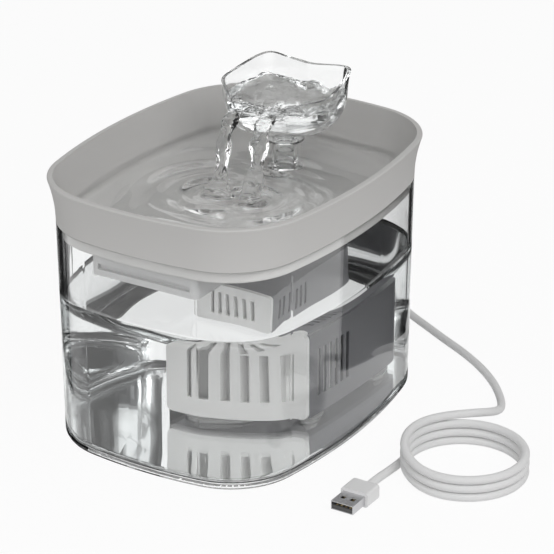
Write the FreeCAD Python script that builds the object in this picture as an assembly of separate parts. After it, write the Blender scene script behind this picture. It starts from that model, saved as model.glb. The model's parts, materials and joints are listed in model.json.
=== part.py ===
import FreeCAD, Part
import math
import os

from FreeCAD import Vector

# Pet water fountain: a clear tank with a lift-off drinking tray, a petal bowl on a clear stem,
# a filter drawer under the tray, a submersible pump in its own case, and a low-voltage lead.
# Millimetres, +Z up, origin on the floor at the centre of the tank, +Y to the back.

# Plan outline, measured at the rim of the tray
RIM_HALF_LENGTH = 95.0
RIM_HALF_WIDTH = 75.0
CORNER_RADIUS = 44.0
END_BULGE = 12.5
SIDE_BULGE = 15.0

# Tank
TANK_HEIGHT = 116.0
TANK_WALL = 2.5
TANK_FLOOR = 3.0
TANK_TOP_INSET = 3.6
TANK_DRAFT = 1.1
TANK_FOOT_RADIUS = 4.0
FOOT_RING_WIDTH = 9.0
FOOT_RING_DEPTH = 0.8

# Drinking tray
SKIRT_HEIGHT = 23.0
TRAY_LIP = 2.8
LIP_ROUND = 0.8
SKIRT_CURVE = 2.0
BASIN_WALL = 2.4
BASIN_ROUND = 4.0
TRAY_FLOOR = 2.4
TRAY_PLUG_CLEARANCE = 0.4
PLUG_FOOT_RADIUS = 1.2
TRAY_BASIN_DEPTH = 27.0
SEAT_GAP = 0.1

# Stem, riser and petal bowl share one upright axis
STEM_Y = 44.0
STEM_RADIUS = 6.6
STEM_BORE = 4.7
STEM_TALL = 19.5
STEM_FLANGE_RADIUS = 10.0
STEM_FLANGE = 1.2
STEM_FOOT_RADIUS = 9.4
STEM_SPIGOT = 8.0
RUNNING_GAP = 0.05
RISER_WALL = 1.7
RISER_BORE = 5.5
RISER_SOCKET_DEPTH = 10.0
RISER_FLANGE_RADIUS = 11.0
RISER_END = 55.0
BOWL_NECK_RADIUS = 6.2
BOWL_NECK_BORE = 3.4
BOWL_NECK = 4.4
BOWL_PLUG = 7.0
BOWL_WALL = 1.6
BOWL_BACK_RIM = 34.0
BOWL_FRONT_RIM = 25.0
BOWL_BACK_REACH = 23.0
BOWL_FRONT_REACH = 33.0

# Drain grille and filter drawer
FILTER_FRONT_GAP = 5.0
FILTER_LENGTH = 38.0
FILTER_HALF_WIDTH = 30.0
FILTER_HEIGHT = 11.0
FILTER_WALL = 1.8
FILTER_CORNER = 3.0
FILTER_GROOVE = 3.0
FILTER_GROOVE_DEPTH = 2.2
FILTER_GROOVE_LIFT = 3.2
FILTER_GROOVE_END = 4.0
CARTRIDGE_GAP = 0.3
CARTRIDGE_FRAME = 1.6
COTTON_THICKNESS = 3.0
CARBON_THICKNESS = 3.6
DRAIN_SLOTS = 9
DRAIN_SLOT_WIDTH = 2.4
DRAIN_SLOT_LENGTH = 24.0
DRAIN_PITCH = 5.2
OUTLET_SLOTS = 7

# Pump case
CASE_HALF_WIDTH = 23.0
CASE_FRONT = -4.0
CASE_BACK = 73.0
CASE_HEIGHT = 46.0
CASE_WALL = 2.0
CASE_CORNER = 7.0
CASE_SLOTS = 6
CASE_SLOT_WIDTH = 2.2
CASE_SLOT_PITCH = 4.6
CASE_SLOT_HEIGHT = 26.0
CUP_HEIGHT = 4.0
CUP_RADIUS = 7.5
CUP_INSET = 11.0
CUP_STUD_RADIUS = 3.6
CUP_CROWN = 1.4
DOOR_THICKNESS = 2.4
DOOR_LIP = 3.0
DOOR_CORNER = 3.0
DOOR_LIP_WALL = 1.6
FIT_GAP = 0.3
SPONGE_THICKNESS = 16.0

# Pump
PUMP_FRONT = 35.0
PUMP_BACK = 69.0
PUMP_HALF_WIDTH = 17.0
PUMP_HEIGHT = 37.0
PUMP_CORNER = 5.0
CHAMBER_RADIUS = 12.5
CHAMBER_DEPTH = 11.0
WELL_RADIUS = 7.5
WELL_DEPTH = 16.0
NOZZLE_RADIUS = 5.45
NOZZLE_BORE = 3.8
NOZZLE_TALL = 17.0
COVER_THICKNESS = 2.0
INLET_RADIUS = 5.0
DIAL_THICKNESS = 1.4
DIAL_RADIUS = 10.0
DIAL_TAB_HALF_WIDTH = 1.4
DIAL_TAB_REACH = 3.0
PORT_PITCH_RADIUS = 6.6
PORT_COUNT = 3
STUB_RADIUS = 2.0
SHAFT_RADIUS = 1.5
BUSH_RADIUS = 3.4
BUSH_LENGTH = 2.6
MAGNET_RADIUS = 6.9
IMPELLER_RADIUS = 10.8
IMPELLER_BLADES = 6
BLADE_THICKNESS = 1.2
STATOR_THICKNESS = 8.0

# Lead
CORD_RADIUS = 2.1
GROMMET_DROP = 11.0
GROMMET_FOOT = 5.5
GROMMET_HALF_WIDTH = 3.0
GROMMET_FLANGE = 1.2
GROMMET_SNOUT = 9.0
GROMMET_LAP = 2.0
GROMMET_PLAY = 0.15
SNOUT_ROOT_WALL = 1.6
SNOUT_TIP_WALL = 0.5
BOOT_Y = 61.0
BOOT_TALL = 10.0
BOOT_WALL = 2.2
BOOT_TIP_WALL = 0.8
BOOT_DEPTH = 6.0
LEAD_APPROACH = 10.0
COIL_CENTRE = Vector(133.0, -5.5, 0.0)
COIL_RADIUS = 29.5
COIL_TURN_GAP = 0.45
COIL_START_ANGLE = 135.0
COIL_END_ANGLE = 1260.0
PLUG_X = 103.5
PLUG_BACK = -50.0
PLUG_BODY_LENGTH = 12.0
PLUG_BODY_WIDTH = 15.0
PLUG_BODY_HEIGHT = 7.6
SHELL_LENGTH = 11.75
SHELL_WIDTH = 12.0
SHELL_HEIGHT = 4.5
SHELL_SHEET = 0.3
PLUG_LIFT = 0.1
PLUG_EDGE = 1.6
PLUG_REAR_EDGE = 1.2
WINDOW_SIDE = 2.3
WINDOW_OFFSET = 2.6
WINDOW_BACK = 4.6
TONGUE_THICKNESS = 1.85
CONTACT_THICKNESS = 0.2
CONTACT_PITCH = 2.4
CONTACT_WIDTH = 1.0

# Levels worked out from the sizes above
RIM_Z = TANK_HEIGHT + SKIRT_HEIGHT
BASIN_Z = RIM_Z - TRAY_BASIN_DEPTH
TRAY_UNDERSIDE = BASIN_Z - TRAY_FLOOR
PLUG_INSET = TANK_TOP_INSET + TANK_WALL + TRAY_PLUG_CLEARANCE
STEM_TOP = BASIN_Z + STEM_TALL
BOWL_BASE = STEM_TOP + STEM_FLANGE + SEAT_GAP
BOWL_FLOOR = BOWL_BASE + BOWL_NECK
CASE_BASE = TANK_FLOOR + CUP_HEIGHT
CASE_TOP = CASE_BASE + CASE_HEIGHT
PUMP_BASE = CASE_BASE + CASE_WALL
PUMP_AXIS = PUMP_BASE + PUMP_HEIGHT / 2
GROMMET_HEIGHT = TANK_HEIGHT - GROMMET_DROP
UP = Vector(0, 0, 1)
BACKWARDS = Vector(0, 1, 0)


def export(name, shape):
    """Write one sub-part, named as its node."""
    clean = shape.removeSplitter()
    if not clean.isValid():
        clean = shape
    clean.exportStep("parts/" + name + ".step")
    print(name, "solids", len(clean.Solids), "volume", round(clean.Volume, 1), "valid", clean.isValid())


def arc_centres():
    """Centres and radii of the end, side and corner arcs of the plan outline, first quadrant."""
    end_radius = (RIM_HALF_WIDTH ** 2 + END_BULGE ** 2) / (2 * END_BULGE)
    side_radius = (RIM_HALF_LENGTH ** 2 + SIDE_BULGE ** 2) / (2 * SIDE_BULGE)
    end_centre = Vector(0, RIM_HALF_LENGTH - end_radius, 0)
    side_centre = Vector(RIM_HALF_WIDTH - side_radius, 0, 0)
    to_end = end_radius - CORNER_RADIUS
    to_side = side_radius - CORNER_RADIUS
    between = end_centre - side_centre
    span = between.Length
    along = (to_side ** 2 - to_end ** 2 + span ** 2) / (2 * span)
    across = math.sqrt(to_side ** 2 - along ** 2)
    unit = between / span
    normal = Vector(-unit.y, unit.x, 0)
    corner = side_centre + unit * along + normal * across
    return end_centre, end_radius, side_centre, side_radius, corner


def outline(inset, z):
    """Closed plan outline, a parallel curve of the rim, of eight tangent arcs at height z."""
    end_centre, end_radius, side_centre, side_radius, corner = arc_centres()
    from_side = corner - side_centre
    from_end = corner - end_centre
    low = math.atan2(from_side.y, from_side.x)
    high = math.atan2(from_end.y, from_end.x)
    side = side_radius - inset
    end = end_radius - inset
    turn = CORNER_RADIUS - inset
    pieces = []
    for quarter in range(4):
        half_turn = math.pi * (quarter // 2)
        if quarter % 2 == 0:
            start = (side_centre, side, -low, low)
            bend = (corner, turn, low, high)
        else:
            start = (end_centre, end, high, math.pi - high)
            bend = (Vector(-corner.x, corner.y, 0), turn, math.pi - high, math.pi - low)
        for centre, radius, first, last in (start, bend):
            spun = FreeCAD.Rotation(UP, math.degrees(half_turn)).multVec(centre)
            circle = Part.Circle(Vector(spun.x, spun.y, z), UP, radius)
            pieces.append(Part.Arc(circle, first + half_turn, last + half_turn).toShape())
    return Part.Wire(pieces)


def loft(sections, ruled=False):
    """Solid through plan outlines given as (inset, height) pairs."""
    return Part.makeLoft([outline(inset, z) for inset, z in sections], True, ruled)


def tank_inset(z):
    """Inset of the outer tank wall at height z: the wall drafts outwards to its top."""
    return TANK_TOP_INSET + TANK_DRAFT * (TANK_HEIGHT - z) / TANK_HEIGHT


def upright(radius, low, high, x=0.0, y=STEM_Y):
    """Upright round bar between two heights."""
    return Part.makeCylinder(radius, high - low, Vector(x, y, low), UP)


def lengthwise(radius, front, back, z=None):
    """Round bar along the pump axis between two Y values."""
    height = PUMP_AXIS if z is None else z
    return Part.makeCylinder(radius, back - front, Vector(0, front, height), BACKWARDS)


def block(x0, x1, y0, y1, z0, z1):
    """Plain block between two corners."""
    return Part.makeBox(x1 - x0, y1 - y0, z1 - z0, Vector(x0, y0, z0))


def rounded_block(x0, x1, y0, y1, z0, z1, radius):
    """Block with its upright edges rounded."""
    body = block(x0, x1, y0, y1, z0, z1)
    edges = [e for e in body.Edges if abs(e.tangentAt(e.FirstParameter).z) > 0.9]
    return body.makeFillet(radius, edges)


def rounding(inset, z, radius, upwards=True):
    """Sections of a quarter-round edge whose level end lies at height z, in rising order."""
    sections = []
    for degrees in (0, 22.5, 45, 67.5, 90):
        turn = math.radians(degrees)
        rise = radius * (1 - math.cos(turn))
        sections.append((inset + radius * (1 - math.sin(turn)), z + rise if upwards else z - rise))
    return sections if upwards else sections[::-1]


def drafted(low_inset, low, high_inset, high, foot):
    """Straight drafted wall on a rounded foot."""
    base = loft(rounding(low_inset, low, foot))
    wall = loft([(low_inset, low + foot), (high_inset, high)], True)
    return base.fuse(wall)


def flared(low_inset, low, high_inset, high, power):
    """Wall whose inset changes with the given power of its height, in six even steps."""
    sections = []
    for i in range(7):
        share = i / 6
        inset = low_inset + (high_inset - low_inset) * share ** power
        sections.append((inset, low + (high - low) * share))
    return loft(sections)


def make_tank():
    """Clear tank: drafted shell with a rounded foot, a ring to stand on and a slot for the lead."""
    shell = drafted(tank_inset(0), 0, tank_inset(TANK_HEIGHT), TANK_HEIGHT, TANK_FOOT_RADIUS)
    hollow = drafted(tank_inset(TANK_FLOOR) + TANK_WALL, TANK_FLOOR, tank_inset(TANK_HEIGHT) + TANK_WALL,
                     TANK_HEIGHT, TANK_FOOT_RADIUS)
    shell = shell.cut(hollow)
    ring = TANK_DRAFT + TANK_TOP_INSET + TANK_FOOT_RADIUS + FOOT_RING_WIDTH
    shell = shell.cut(loft([(ring, -1), (ring, FOOT_RING_DEPTH)], True))
    slot = block(-GROMMET_HALF_WIDTH, GROMMET_HALF_WIDTH, RIM_HALF_LENGTH - 20, RIM_HALF_LENGTH,
                 GROMMET_HEIGHT, TANK_HEIGHT + 1)
    slot = slot.fuse(lengthwise(GROMMET_HALF_WIDTH, RIM_HALF_LENGTH - 20, RIM_HALF_LENGTH, GROMMET_HEIGHT))
    return shell.cut(slot)


def filter_front():
    """Y of the filter drawer's front face, just inside the tank wall."""
    return -(RIM_HALF_LENGTH - tank_inset(TRAY_UNDERSIDE) - TANK_WALL - FILTER_FRONT_GAP)


def drain_centre():
    """Y of the middle of the drain grille, over the filter drawer."""
    return filter_front() + FILTER_LENGTH / 2


def slot_row(count, pitch, width, length, y, low, high):
    """Row of round-ended slots that lie along Y, side by side across X."""
    cutters = []
    for i in range(count):
        x = (i - (count - 1) / 2) * pitch
        half = length / 2 - width / 2
        bar = block(x - width / 2, x + width / 2, y - half, y + half, low, high)
        bar = bar.fuse(upright(width / 2, low, high, x, y - half))
        cutters.append(bar.fuse(upright(width / 2, low, high, x, y + half)))
    return Part.makeCompound(cutters)


def make_tray():
    """Drinking tray: flared skirt, basin that plugs into the tank, drain grille and stem hole."""
    seat = TANK_HEIGHT + SEAT_GAP
    skirt = flared(TANK_TOP_INSET, seat, 0.0, RIM_Z - LIP_ROUND, SKIRT_CURVE)
    skirt = skirt.fuse(loft(rounding(0.0, RIM_Z, LIP_ROUND, False)))
    plug = drafted(PLUG_INSET, TRAY_UNDERSIDE, PLUG_INSET, TANK_HEIGHT + 1, PLUG_FOOT_RADIUS)
    foot_inset = PLUG_INSET + BASIN_WALL
    basin = loft(rounding(foot_inset, BASIN_Z, BASIN_ROUND))
    basin = basin.fuse(flared(foot_inset, BASIN_Z + BASIN_ROUND, TRAY_LIP, RIM_Z, 1.0))
    tray = skirt.fuse(plug).cut(basin)
    y = drain_centre()
    tray = tray.cut(slot_row(DRAIN_SLOTS, DRAIN_PITCH, DRAIN_SLOT_WIDTH, DRAIN_SLOT_LENGTH, y,
                             TRAY_UNDERSIDE - 1, BASIN_Z + 1))
    return tray.cut(upright(STEM_RADIUS + RUNNING_GAP, TRAY_UNDERSIDE - 1, BASIN_Z + 1))


def make_stem():
    """Clear stem: flared foot on the basin floor, tube, top flange, and a spigot below the floor."""
    low = TRAY_UNDERSIDE - STEM_SPIGOT
    foot = BASIN_Z + SEAT_GAP
    points = [(STEM_BORE, low), (STEM_RADIUS, low), (STEM_RADIUS, foot), (STEM_FOOT_RADIUS, foot),
              (STEM_FOOT_RADIUS, foot + 1.0), (STEM_RADIUS + 0.5, foot + 3.4), (STEM_RADIUS, foot + 6.0),
              (STEM_RADIUS, STEM_TOP), (STEM_FLANGE_RADIUS, STEM_TOP),
              (STEM_FLANGE_RADIUS, STEM_TOP + STEM_FLANGE), (STEM_BORE, STEM_TOP + STEM_FLANGE)]
    return turned(points)


def turned(points, y=STEM_Y):
    """Solid turned about the upright stem axis from (radius, height) points."""
    corners = [Vector(r, y, z) for r, z in points]
    face = Part.Face(Part.makePolygon(corners + corners[:1]))
    return face.revolve(Vector(0, y, 0), UP, 360)


def make_riser():
    """Riser pipe under the tray: a flanged socket for the stem and a pipe over the pump nozzle."""
    step = TRAY_UNDERSIDE - RISER_SOCKET_DEPTH
    socket = STEM_RADIUS + RUNNING_GAP
    top = TRAY_UNDERSIDE - SEAT_GAP
    outside = RISER_BORE + RISER_WALL
    points = [(RISER_BORE, RISER_END), (outside, RISER_END), (outside, step - 3),
              (socket + RISER_WALL, step), (socket + RISER_WALL, top - 1.6), (RISER_FLANGE_RADIUS, top - 1.6),
              (RISER_FLANGE_RADIUS, top), (socket, top), (socket, step + 0.6), (RISER_BORE, step + 0.6)]
    return turned(points)


PETAL_POINTS = [(90, 20.5), (60, 25.5), (46, 32.0), (20, 30.5), (0, 30.5), (-20, 32.5), (-35, 31.0),
                (-52, 31.5), (-72, 33.5), (-90, 29.5)]


def petal_section(size, round_radius, mix, z):
    """Closed curve at height z: a circle blended by mix into the petal outline, grown by size."""
    half = [(angle, radius) for angle, radius in PETAL_POINTS]
    mirrored = [(180 - angle, radius) for angle, radius in half[-2:0:-1]]
    points = []
    for angle, radius in half + mirrored:
        reach = round_radius * (1 - mix) + (radius + size) * mix
        turn = math.radians(angle)
        points.append(Vector(reach * math.cos(turn), STEM_Y + reach * math.sin(turn), z))
    curve = Part.BSplineCurve()
    curve.interpolate(Points=points, PeriodicFlag=True)
    return Part.Wire(curve.toShape())


def make_bowl():
    """Clear petal bowl: lofted shell cut by a rim that dips to the front, on a bored neck and plug."""
    tall = BOWL_BACK_RIM + 8
    levels = [(0.0, 11.0, 0.0), (3.0, 19.0, 0.25), (8.0, 24.5, 0.6), (15.0, 27.5, 0.85),
              (23.0, 29.0, 1.0), (tall, 29.0, 1.0)]
    outer = []
    inner = []
    for rise, round_radius, mix in levels:
        z = BOWL_FLOOR + rise
        outer.append(petal_section(0.0, round_radius, mix, z))
        inner.append(petal_section(-BOWL_WALL, round_radius - BOWL_WALL, mix, z + BOWL_WALL))
    shell = Part.makeLoft(outer, True, False).cut(Part.makeLoft(inner, True, False))
    back = STEM_Y + BOWL_BACK_REACH
    fall = math.degrees(math.atan2(BOWL_BACK_RIM - BOWL_FRONT_RIM, BOWL_BACK_REACH + BOWL_FRONT_REACH))
    above = block(-60, 60, -80, 60, 0, 60)
    above.rotate(Vector(0, 0, 0), Vector(1, 0, 0), fall)
    above.translate(Vector(0, back, BOWL_BASE + BOWL_BACK_RIM))
    shell = shell.cut(above)
    neck = upright(BOWL_NECK_RADIUS, BOWL_BASE, BOWL_FLOOR + 0.8)
    plug = upright(STEM_BORE - RUNNING_GAP, BOWL_BASE - BOWL_PLUG, BOWL_BASE)
    bore = upright(BOWL_NECK_BORE, BOWL_BASE - BOWL_PLUG - 1, BOWL_FLOOR + 4)
    return shell.fuse([neck, plug]).cut(bore)


def make_filter_box():
    """Filter drawer: open-topped box with a finger groove along its front and slots in its floor."""
    front = filter_front()
    back = front + FILTER_LENGTH
    top = TRAY_UNDERSIDE - SEAT_GAP
    low = top - FILTER_HEIGHT
    box = rounded_block(-FILTER_HALF_WIDTH, FILTER_HALF_WIDTH, front, back, low, top, FILTER_CORNER)
    box = box.cut(rounded_block(-FILTER_HALF_WIDTH + FILTER_WALL, FILTER_HALF_WIDTH - FILTER_WALL,
                                front + FILTER_WALL + FILTER_GROOVE_DEPTH, back - FILTER_WALL,
                                low + FILTER_WALL, top + 1, FILTER_CORNER - FILTER_WALL / 2))
    half = FILTER_HALF_WIDTH - FILTER_GROOVE_END
    sill = low + FILTER_GROOVE_LIFT
    groove = block(-half, half, front - 1, front + FILTER_GROOVE_DEPTH, sill, sill + FILTER_GROOVE)
    slots = slot_row(OUTLET_SLOTS, DRAIN_PITCH * 1.3, DRAIN_SLOT_WIDTH, DRAIN_SLOT_LENGTH, drain_centre() + 1,
                     low - 1, low + FILTER_WALL + 1)
    return box.cut(groove).cut(slots)


def cartridge_box():
    """Plan limits and floor of the space that the filter cartridge fills."""
    front = filter_front() + FILTER_WALL + FILTER_GROOVE_DEPTH + CARTRIDGE_GAP
    back = filter_front() + FILTER_LENGTH - FILTER_WALL - CARTRIDGE_GAP
    half = FILTER_HALF_WIDTH - FILTER_WALL - CARTRIDGE_GAP
    floor = TRAY_UNDERSIDE - SEAT_GAP - FILTER_HEIGHT + FILTER_WALL
    return half, front, back, floor


def make_cartridge():
    """Filter cartridge: ring frame, carbon pad below, cotton pad above."""
    half, front, back, floor = cartridge_box()
    tall = CARBON_THICKNESS + COTTON_THICKNESS
    wall = CARTRIDGE_FRAME
    frame = rounded_block(-half, half, front, back, floor, floor + tall, 1.6)
    inner = (-half + wall, half - wall, front + wall, back - wall)
    frame = frame.cut(block(*inner, floor - 1, floor + tall + 1))
    carbon = block(*inner, floor, floor + CARBON_THICKNESS)
    cotton = block(*inner, floor + CARBON_THICKNESS, floor + tall)
    return frame, carbon, cotton


def side_slots(y):
    """Row of upright intake slots through both side walls of the pump case, centred on y."""
    middle = CASE_BASE + CASE_HEIGHT / 2
    cutters = []
    for i in range(CASE_SLOTS):
        at = y + (i - (CASE_SLOTS - 1) / 2) * CASE_SLOT_PITCH
        cutters.append(block(-CASE_HALF_WIDTH - 1, CASE_HALF_WIDTH + 1, at - CASE_SLOT_WIDTH / 2,
                             at + CASE_SLOT_WIDTH / 2, middle - CASE_SLOT_HEIGHT / 2,
                             middle + CASE_SLOT_HEIGHT / 2))
    return Part.makeCompound(cutters)


def make_case():
    """Pump case: box open at its front, slots by the sponge, holes for nozzle and lead."""
    body = rounded_block(-CASE_HALF_WIDTH, CASE_HALF_WIDTH, CASE_FRONT, CASE_BACK, CASE_BASE, CASE_TOP,
                         CASE_CORNER)
    hollow = rounded_block(-CASE_HALF_WIDTH + CASE_WALL, CASE_HALF_WIDTH - CASE_WALL, CASE_FRONT - 20,
                           CASE_BACK - CASE_WALL, CASE_BASE + CASE_WALL, CASE_TOP - CASE_WALL,
                           CASE_CORNER - CASE_WALL)
    body = body.fuse(block(-CASE_HALF_WIDTH, CASE_HALF_WIDTH, CASE_FRONT, CASE_FRONT + CASE_CORNER,
                           CASE_BASE, CASE_TOP))
    body = body.cut(hollow)
    body = body.cut(side_slots(CASE_FRONT + DOOR_LIP + SPONGE_THICKNESS))
    body = body.cut(upright(NOZZLE_RADIUS + FIT_GAP, CASE_TOP - CASE_WALL - 1, CASE_TOP + 1))
    boot_hole = CORD_RADIUS + BOOT_WALL + FIT_GAP
    return body.cut(upright(boot_hole, CASE_TOP - CASE_WALL - 1, CASE_TOP + 1, 0, BOOT_Y))


def make_door():
    """Case door: slotted plate with a lip that plugs into the case."""
    back = CASE_FRONT - FIT_GAP
    plate = rounded_lengthwise_plate(CASE_HALF_WIDTH, CASE_BASE, CASE_TOP, back - DOOR_THICKNESS, back,
                                     DOOR_CORNER)
    side = CASE_HALF_WIDTH - CASE_WALL - FIT_GAP
    low = CASE_BASE + CASE_WALL + FIT_GAP
    high = CASE_TOP - CASE_WALL - FIT_GAP
    lip = block(-side, side, CASE_FRONT - FIT_GAP - 0.5, CASE_FRONT + DOOR_LIP, low, high)
    lip = lip.cut(block(-side + DOOR_LIP_WALL, side - DOOR_LIP_WALL, CASE_FRONT - FIT_GAP,
                        CASE_FRONT + DOOR_LIP + 1, low + DOOR_LIP_WALL, high - DOOR_LIP_WALL))
    door = plate.fuse(lip)
    middle = CASE_BASE + CASE_HEIGHT / 2
    slots = []
    for i in range(CASE_SLOTS):
        x = (i - (CASE_SLOTS - 1) / 2) * CASE_SLOT_PITCH
        slots.append(block(x - CASE_SLOT_WIDTH / 2, x + CASE_SLOT_WIDTH / 2, CASE_FRONT - 10, CASE_FRONT + 1,
                           middle - CASE_SLOT_HEIGHT / 2, middle + CASE_SLOT_HEIGHT / 2))
    return door.cut(Part.makeCompound(slots))


def rounded_lengthwise_plate(half, low, high, front, back, radius):
    """Plate across the case with its four corners rounded, edges along Y."""
    body = block(-half, half, front, back, low, high)
    edges = [e for e in body.Edges if abs(e.tangentAt(e.FirstParameter).y) > 0.9]
    return body.makeFillet(radius, edges)


def make_sponge():
    """Intake sponge between the door and the pump."""
    side = CASE_HALF_WIDTH - CASE_WALL - FIT_GAP
    front = CASE_FRONT + DOOR_LIP + FIT_GAP
    return block(-side, side, front, front + SPONGE_THICKNESS, CASE_BASE + CASE_WALL,
                 CASE_TOP - CASE_WALL - FIT_GAP)


def make_cups():
    """Four suction cups under the case."""
    cups = []
    for x in (-CASE_HALF_WIDTH + CUP_INSET, CASE_HALF_WIDTH - CUP_INSET):
        for y in (CASE_FRONT + CUP_INSET, CASE_BACK - CUP_INSET):
            foot = Vector(x, y, TANK_FLOOR)
            tall = CUP_HEIGHT - CUP_CROWN
            skirt = Part.makeCone(CUP_RADIUS, CUP_STUD_RADIUS, tall, foot, UP)
            hollow = Part.makeCone(CUP_RADIUS - CUP_CROWN, CUP_STUD_RADIUS - 2, tall - 1, foot, UP)
            stud = upright(CUP_STUD_RADIUS, TANK_FLOOR + CUP_HEIGHT - CUP_CROWN, CASE_BASE, x, y)
            cups.append(skirt.fuse(stud).cut(hollow))
    return Part.makeCompound(cups)


def make_pump_body():
    """Pump body: impeller chamber, rotor well, outlet nozzle and sealed pockets for the motor."""
    body = rounded_block(-PUMP_HALF_WIDTH, PUMP_HALF_WIDTH, PUMP_FRONT, PUMP_BACK, PUMP_BASE,
                         PUMP_BASE + PUMP_HEIGHT, PUMP_CORNER)
    nozzle = upright(NOZZLE_RADIUS, PUMP_BASE + PUMP_HEIGHT - 1, PUMP_BASE + PUMP_HEIGHT + NOZZLE_TALL)
    body = body.fuse(nozzle)
    body = body.cut(lengthwise(CHAMBER_RADIUS, PUMP_FRONT - 1, PUMP_FRONT + CHAMBER_DEPTH))
    body = body.cut(lengthwise(WELL_RADIUS, PUMP_FRONT, PUMP_FRONT + CHAMBER_DEPTH + WELL_DEPTH))
    body = body.cut(upright(NOZZLE_BORE, PUMP_AXIS, PUMP_BASE + PUMP_HEIGHT + NOZZLE_TALL + 1))
    core, coil = make_stator()
    body = body.cut(core).cut(coil)
    return body.cut(upright(CORD_RADIUS + BOOT_WALL, PUMP_BASE + PUMP_HEIGHT - BOOT_DEPTH,
                            PUMP_BASE + PUMP_HEIGHT + 1, 0, BOOT_Y))


def make_stator():
    """Stator: two laminated poles beside the rotor well joined by a yoke below, wound with a coil."""
    middle = PUMP_FRONT + CHAMBER_DEPTH + WELL_DEPTH / 2
    y0 = middle - STATOR_THICKNESS / 2
    y1 = middle + STATOR_THICKNESS / 2
    inner = WELL_RADIUS + 1.2
    outer = PUMP_HALF_WIDTH - 1.6
    yoke_low = PUMP_BASE + 1.6
    yoke_high = yoke_low + 3.4
    poles = []
    for side in (-1, 1):
        x0, x1 = sorted((side * inner, side * outer))
        poles.append(block(x0, x1, y0, y1, yoke_low, PUMP_AXIS + 6))
    core = block(-outer, outer, y0, y1, yoke_low, yoke_high).fuse(poles)
    coil = block(-inner + 1.0, inner - 1.0, y0 - 1.4, y1 + 1.4, yoke_low - 0.8, yoke_high + 1.4)
    coil = coil.cut(block(-inner, inner, y0, y1, yoke_low, yoke_high))
    return core, coil


def make_volute_cover():
    """Cover of the impeller chamber, with the inlet in its middle and a stub for the dial."""
    cover = rounded_lengthwise_plate(PUMP_HALF_WIDTH, PUMP_BASE + 0.4, PUMP_BASE + PUMP_HEIGHT,
                                     PUMP_FRONT - COVER_THICKNESS, PUMP_FRONT, PUMP_CORNER)
    cover = cover.fuse(lengthwise(CHAMBER_RADIUS - FIT_GAP, PUMP_FRONT - 0.5, PUMP_FRONT + 1.2))
    inlets = []
    for spoke in range(PORT_COUNT):
        turn = math.radians(360 / PORT_COUNT * spoke + 90)
        at = Vector(PORT_PITCH_RADIUS * math.cos(turn), PUMP_FRONT - 10,
                    PUMP_AXIS + PORT_PITCH_RADIUS * math.sin(turn))
        inlets.append(Part.makeCylinder(INLET_RADIUS / 2, 20, at, BACKWARDS))
    cover = cover.cut(Part.makeCompound(inlets))
    stub = COVER_THICKNESS + DIAL_THICKNESS + 4 * SEAT_GAP
    return cover.fuse(lengthwise(STUB_RADIUS, PUMP_FRONT - stub, PUMP_FRONT))


def make_dial():
    """Flow dial: disc with three ports that turns on the cover's stub, and a finger tab."""
    back = PUMP_FRONT - COVER_THICKNESS - SEAT_GAP
    front = back - DIAL_THICKNESS
    disc = lengthwise(DIAL_RADIUS, front, back)
    tab = block(-DIAL_TAB_HALF_WIDTH, DIAL_TAB_HALF_WIDTH, front - DIAL_TAB_REACH, back,
                PUMP_AXIS + DIAL_RADIUS - DIAL_TAB_REACH, PUMP_AXIS + DIAL_RADIUS + DIAL_TAB_REACH)
    disc = disc.fuse(tab).cut(lengthwise(STUB_RADIUS + RUNNING_GAP, front - DIAL_TAB_REACH - 1, back + 1))
    ports = []
    for spoke in range(PORT_COUNT):
        turn = math.radians(360 / PORT_COUNT * spoke + 90)
        at = Vector(PORT_PITCH_RADIUS * math.cos(turn), front - 10,
                    PUMP_AXIS + PORT_PITCH_RADIUS * math.sin(turn))
        ports.append(Part.makeCylinder(INLET_RADIUS / 2, 20, at, BACKWARDS))
    return disc.cut(Part.makeCompound(ports))


def shaft_span():
    """Front and back ends of the ceramic shaft."""
    return PUMP_FRONT + 1.2, PUMP_FRONT + CHAMBER_DEPTH + WELL_DEPTH


def make_rotor():
    """Shaft, its two bushes, rotor magnet and impeller."""
    front, back = shaft_span()
    shaft = lengthwise(SHAFT_RADIUS, front, back)
    bushes = []
    for start in (front, back - BUSH_LENGTH):
        bush = lengthwise(BUSH_RADIUS, start, start + BUSH_LENGTH)
        bushes.append(bush.cut(lengthwise(SHAFT_RADIUS, start - 1, start + BUSH_LENGTH + 1)))
    hub_front = front + BUSH_LENGTH + 0.2
    disc = PUMP_FRONT + CHAMBER_DEPTH - 2.0
    magnet_back = back - BUSH_LENGTH - 0.2
    bore = lengthwise(SHAFT_RADIUS + RUNNING_GAP, hub_front - 1, magnet_back + 1)
    magnet = lengthwise(MAGNET_RADIUS, disc, magnet_back).cut(bore)
    impeller = lengthwise(3.4, hub_front, disc).fuse(lengthwise(IMPELLER_RADIUS * 0.7, disc - 1.2, disc))
    blades = []
    for i in range(IMPELLER_BLADES):
        blade = block(2.4, IMPELLER_RADIUS, hub_front, disc, PUMP_AXIS - BLADE_THICKNESS / 2,
                      PUMP_AXIS + BLADE_THICKNESS / 2)
        blade.rotate(Vector(0, 0, PUMP_AXIS), BACKWARDS, 360 * i / IMPELLER_BLADES)
        blades.append(blade)
    impeller = impeller.fuse(blades).cut(bore)
    return shaft, Part.makeCompound(bushes), magnet, impeller


def make_boot():
    """Strain relief where the lead leaves the pump."""
    low = PUMP_BASE + PUMP_HEIGHT - BOOT_DEPTH
    collar = 0.2 * BOOT_TALL
    straight = upright(CORD_RADIUS + BOOT_WALL, low, CASE_TOP + collar, 0, BOOT_Y)
    taper = Part.makeCone(CORD_RADIUS + BOOT_WALL, CORD_RADIUS + BOOT_TIP_WALL, BOOT_TALL - collar,
                          Vector(0, BOOT_Y, CASE_TOP + collar), UP)
    return straight.fuse(taper)


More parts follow.
